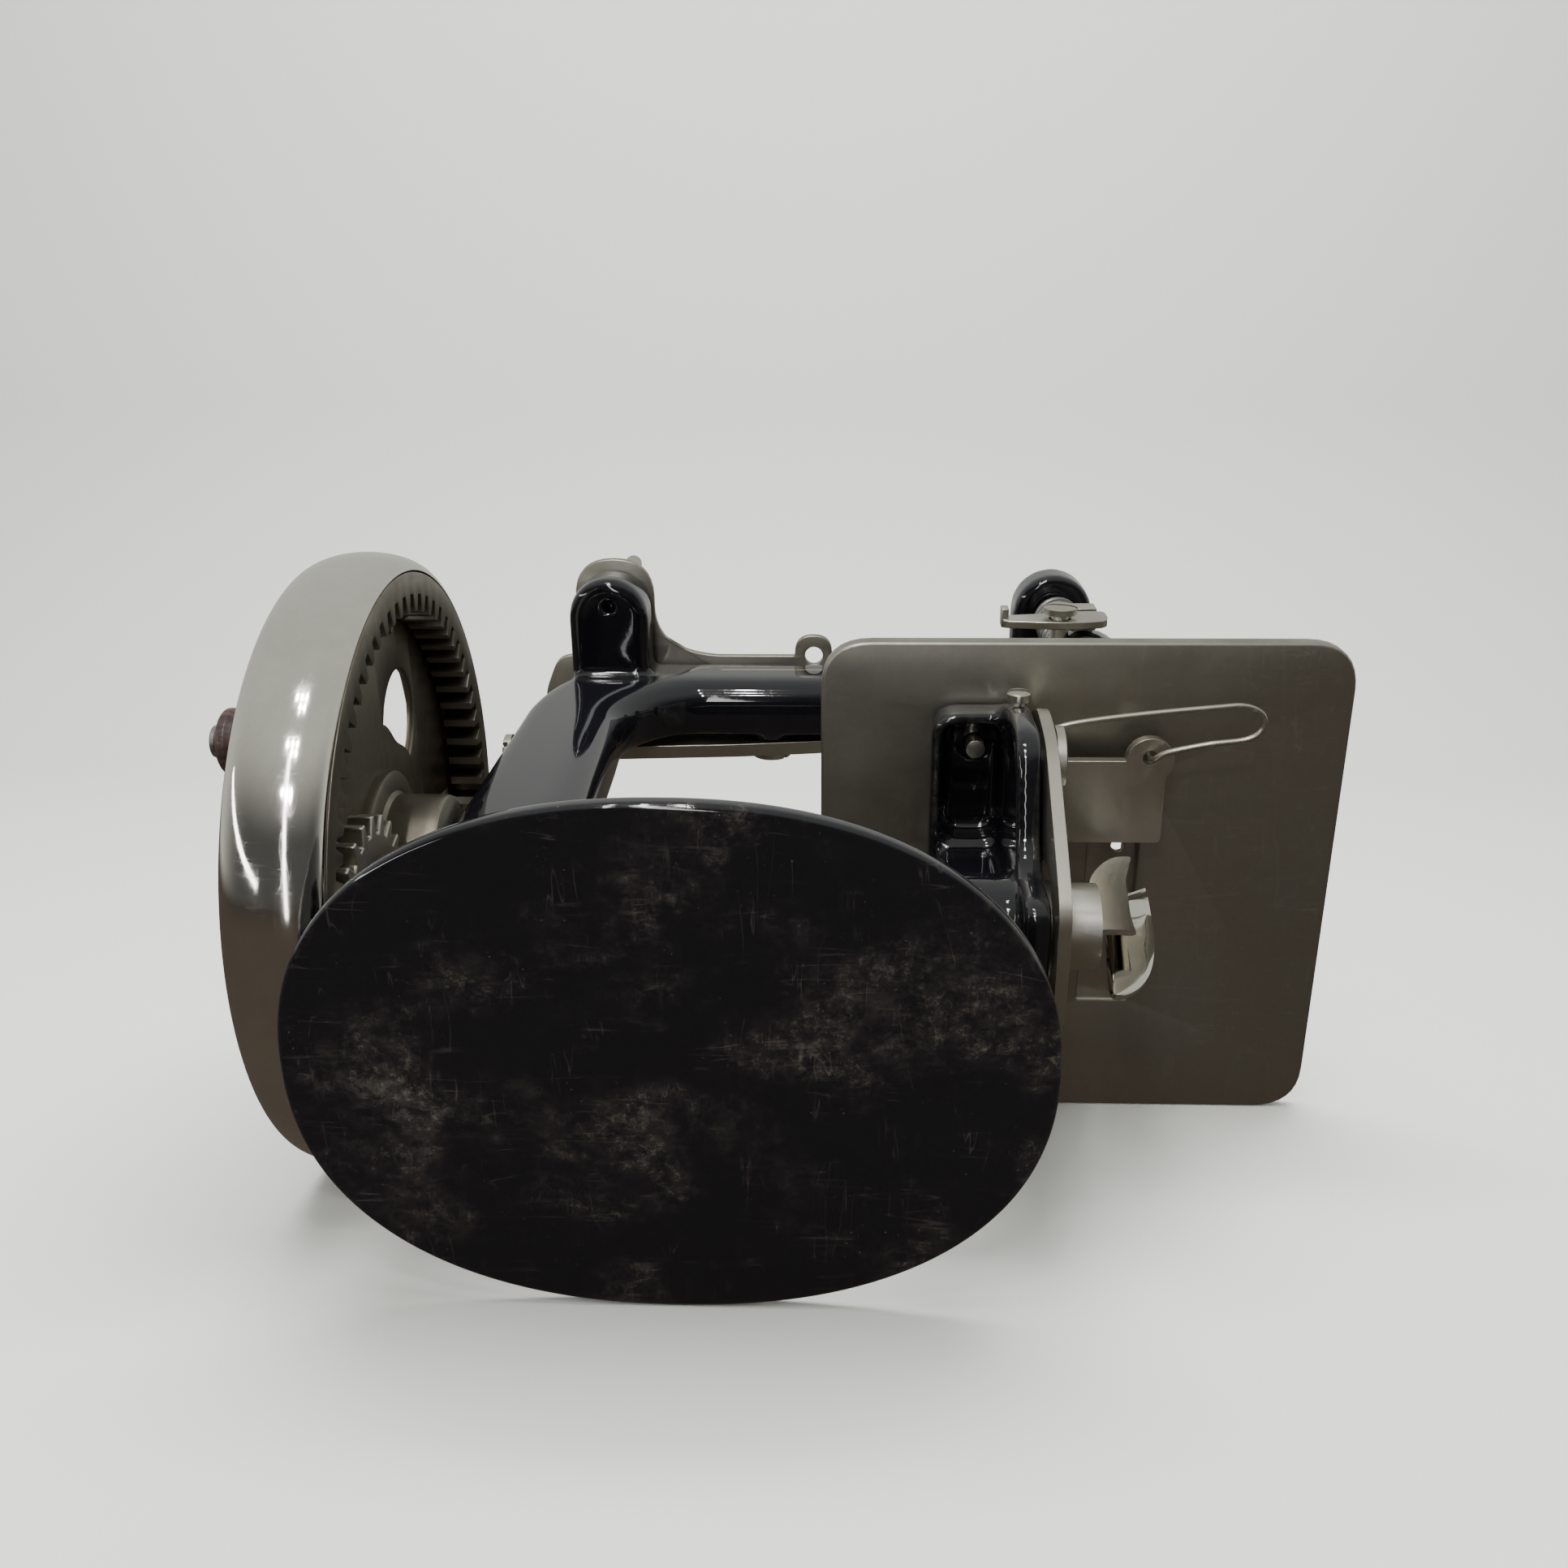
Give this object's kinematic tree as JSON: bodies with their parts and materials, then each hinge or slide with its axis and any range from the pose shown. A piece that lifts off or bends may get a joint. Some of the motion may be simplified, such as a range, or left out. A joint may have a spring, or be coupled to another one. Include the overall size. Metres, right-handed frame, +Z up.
{
  "type": "toy sewing machine",
  "caption": "Small hand-crank chain-stitch sewing machine with an oval cast base, a square nickelled work table and a geared hand wheel with a crank knob.",
  "frame": {"origin": "centre of the oval base's underside", "axes": "+Z up, -Y towards the sewer, +X towards the hand wheel"},
  "size_m": [0.1721, 0.0997, 0.18],
  "materials": {
    "enamel": "gloss black baked enamel on cast iron, scuffed",
    "nickel": "satin nickel plate, dulled and lightly tarnished",
    "bright_nickel": "polished nickel plate, mirror bright",
    "steel": "bare machined steel, oiled",
    "brass": "turned brass bush",
    "knob_wood": "dark red-brown stained and varnished hardwood"
  },
  "bodies": {
    "frame": {"frame_casting": "enamel", "work_table": "nickel", "needle_plate": "nickel", "table_screw_rear": "nickel", "table_screw_front": "nickel", "top_plate": "nickel", "top_plate_screw_left": "nickel", "top_plate_screw_right": "nickel", "spool_pin": "nickel", "tension_post": "nickel", "tension_spring": "steel", "lever_pivot_screw": "steel", "presser_spring": "steel", "lifter_pivot_screw": "steel", "shaft_bush_left": "brass", "shaft_bush_right": "brass", "feed_pivot_screw": "nickel", "feed_stop_screw": "nickel", "wheel_stud": "steel", "wheel_washer": "nickel", "wheel_screw": "nickel", "column_screw": "nickel"},
    "wheel": {"hand_wheel": "bright_nickel", "crank_pin": "steel"},
    "knob": {"crank_knob": "knob_wood"},
    "shaft": {"main_shaft": "steel", "crank_disc": "steel", "drive_shaft": "steel", "pinion": "nickel", "feed_cam": "steel", "looper_hub": "nickel", "looper": "bright_nickel", "looper_screw": "steel"},
    "lever": {"needle_lever": "nickel", "rod_pin": "steel"},
    "rod": {"connecting_rod": "steel"},
    "needle_bar": {"needle_bar": "bright_nickel", "needle_clamp": "nickel", "needle": "bright_nickel"},
    "clamp_screw": {"needle_clamp_screw": "nickel"},
    "presser": {"presser_bar": "bright_nickel", "presser_collar": "nickel", "presser_foot": "nickel"},
    "lifter": {"presser_lifter": "nickel"},
    "feed": {"feed_lever": "nickel", "feed_spring": "steel"},
    "tension_nut": {"tension_nut": "nickel"},
    "tension_discs": {"tension_disc_lower": "nickel", "tension_disc_upper": "nickel"}
  },
  "joints": [
    {"name": "hand_wheel_spin", "type": "hinge", "parent": "frame", "child": "wheel", "pos_m": [0.055, 0, 0.0635], "axis": [1, 0, 0], "continuous": true},
    {"name": "knob_spin", "type": "hinge", "parent": "wheel", "child": "knob", "pos_m": [0.065, 0.027, 0.044], "axis": [1, 0, 0], "continuous": true},
    {"name": "shaft_spin", "type": "hinge", "parent": "frame", "child": "shaft", "pos_m": [0, 0.0018, 0.03691], "axis": [1, 0, 0], "continuous": true},
    {"name": "needle_lever_rock", "type": "hinge", "parent": "frame", "child": "lever", "pos_m": [-0.0065, -0.008, 0.14], "axis": [0, -1, 0], "range_deg": [0, 11.5]},
    {"name": "rod_hang", "type": "hinge", "parent": "lever", "child": "rod", "pos_m": [0.03068, -0.0109, 0.13511], "axis": [0, -1, 0], "range_deg": [-11.51, 0.01]},
    {"name": "needle_bar_slide", "type": "slide", "parent": "frame", "child": "needle_bar", "axis": [0, 0, -1], "range_m": [0, 0.01229]},
    {"name": "clamp_screw_turn", "type": "hinge", "parent": "needle_bar", "child": "clamp_screw", "pos_m": [-0.077, -0.001, 0.0926], "axis": [1, 0, 0], "range_deg": [-180, 180]},
    {"name": "presser_lifter_turn", "type": "hinge", "parent": "frame", "child": "lifter", "pos_m": [-0.06, 0.029, 0.1015], "axis": [0, 1, 0], "range_deg": [0, 40]},
    {"name": "presser_lift", "type": "slide", "parent": "frame", "child": "presser", "axis": [0, 0, 1], "range_m": [0, 0.0035], "deforming": ["presser_spring"]},
    {"name": "feed_lever_rock", "type": "hinge", "parent": "frame", "child": "feed", "pos_m": [-0.0515, 0.0223, 0.051], "axis": [1, 0, 0], "range_deg": [0, 3], "stiffness_Nm_per_rad": 0.05, "springref_deg": -5.73},
    {"name": "tension_nut_turn", "type": "hinge", "parent": "frame", "child": "tension_nut", "pos_m": [-0.02, -0.0034, 0.163], "axis": [0, 0, 1], "range_deg": [-180, 180]},
    {"name": "tension_discs_turn", "type": "hinge", "parent": "frame", "child": "tension_discs", "pos_m": [-0.02, -0.0034, 0.1527], "axis": [0, 0, 1], "continuous": true}
  ],
  "couplings": [
    {"joint": "shaft_spin", "follows": "hand_wheel_spin", "ratio": 2.8636},
    {"joint": "rod_hang", "follows": "needle_lever_rock", "ratio": -1},
    {"joint": "needle_bar_slide", "follows": "needle_lever_rock", "m_per_rad": 0.060726},
    {"joint": "presser_lifter_turn", "follows": "presser_lift", "rad_per_m": 199.27}
  ]
}
